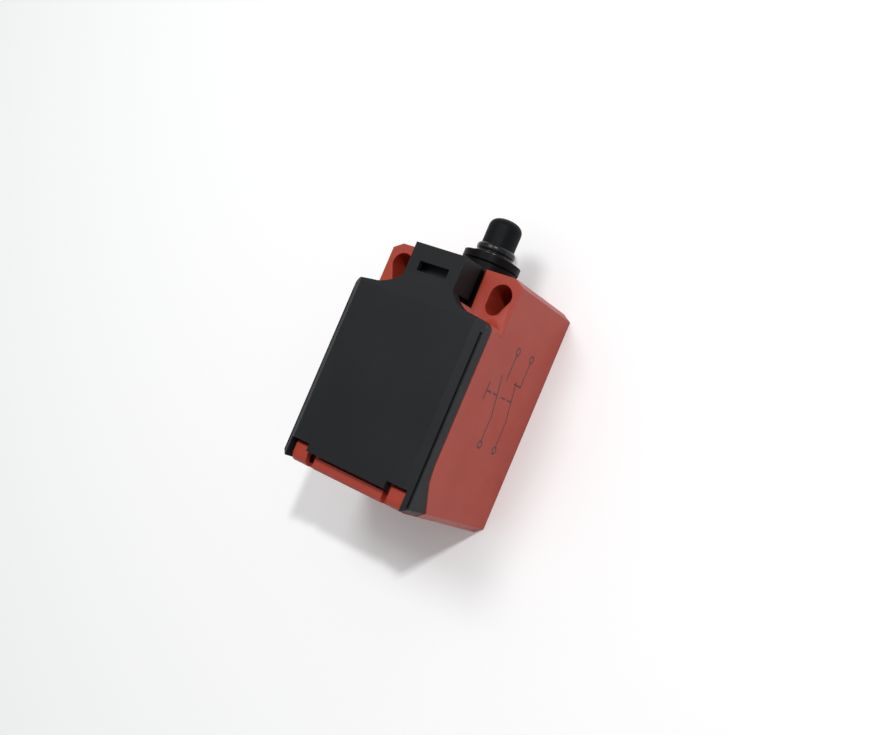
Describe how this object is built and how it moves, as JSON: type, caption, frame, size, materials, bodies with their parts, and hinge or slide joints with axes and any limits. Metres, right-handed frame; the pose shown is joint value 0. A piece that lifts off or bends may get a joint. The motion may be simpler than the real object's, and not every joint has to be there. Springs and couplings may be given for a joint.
{
  "type": "limit switch",
  "caption": "Narrow moulded limit switch with a plain top plunger, a hinged front cover, screw terminals on a contact block and a threaded cable inlet.",
  "frame": {"origin": "on the mounting face, midway between the two mounting slots", "axes": "+X across the body, +Y from the cable inlet towards the plunger, +Z out of the mounting face through the cover"},
  "size_m": [0.031, 0.0597, 0.03],
  "materials": {
    "red_shell": "fine satin moulded thermoplastic",
    "black_cover": "fine-grained moulded thermoplastic",
    "black_head": "satin moulded thermoplastic",
    "seal_rubber": "glossy nitrile rubber",
    "plunger_grey": "turned satin plastic",
    "spring_steel": "drawn steel wire and pins",
    "block_ivory": "moulded thermoset",
    "block_black": "moulded thermoplastic",
    "contact_brass": "pressed sheet brass",
    "screw_zinc": "zinc-plated steel"
  },
  "bodies": {
    "housing": {"housing": "red_shell", "turret": "black_head", "wiper_seal": "seal_rubber", "block_base": "block_ivory", "block_lid": "block_black", "terminal_13": "contact_brass", "terminal_14": "contact_brass", "terminal_21": "contact_brass", "terminal_22": "contact_brass", "clamp_plate_13": "screw_zinc", "clamp_plate_14": "screw_zinc", "clamp_plate_21": "screw_zinc", "clamp_plate_22": "screw_zinc", "terminal_screw_13": "screw_zinc", "terminal_screw_14": "screw_zinc", "terminal_screw_21": "screw_zinc", "terminal_screw_22": "screw_zinc", "fixing_screw_left": "screw_zinc", "fixing_screw_right": "screw_zinc", "plunger_spring": "spring_steel", "carrier_spring": "spring_steel"},
    "cover": {"cover": "black_cover", "cover_gasket": "seal_rubber"},
    "plunger": {"plunger_cap": "plunger_grey", "plunger_stem": "spring_steel", "retaining_clip": "spring_steel", "pusher": "block_black"},
    "contact_carrier": {"contact_carrier": "block_ivory", "bridge_no": "contact_brass", "bridge_nc": "contact_brass", "bridge_spring_no": "spring_steel", "bridge_spring_nc": "spring_steel", "overtravel_spring": "spring_steel"}
  },
  "joints": [
    {"name": "cover_hinge", "type": "hinge", "parent": "housing", "child": "cover", "pos_m": [0, -0.0406, 0.0265], "axis": [1, 0, 0], "range_deg": [0, 110]},
    {"name": "plunger_slide", "type": "slide", "parent": "housing", "child": "plunger", "axis": [0, -1, 0], "range_m": [0, 0.0045], "stiffness_N_per_m": 800, "springref_m": -0.003, "deforming": ["plunger_spring", "overtravel_spring"]},
    {"name": "carrier_slide", "type": "slide", "parent": "housing", "child": "contact_carrier", "axis": [0, -1, 0], "range_m": [0, 0.00225], "deforming": ["carrier_spring"]}
  ],
  "couplings": [
    {"joint": "carrier_slide", "follows": "plunger_slide", "ratio": 0.5}
  ]
}
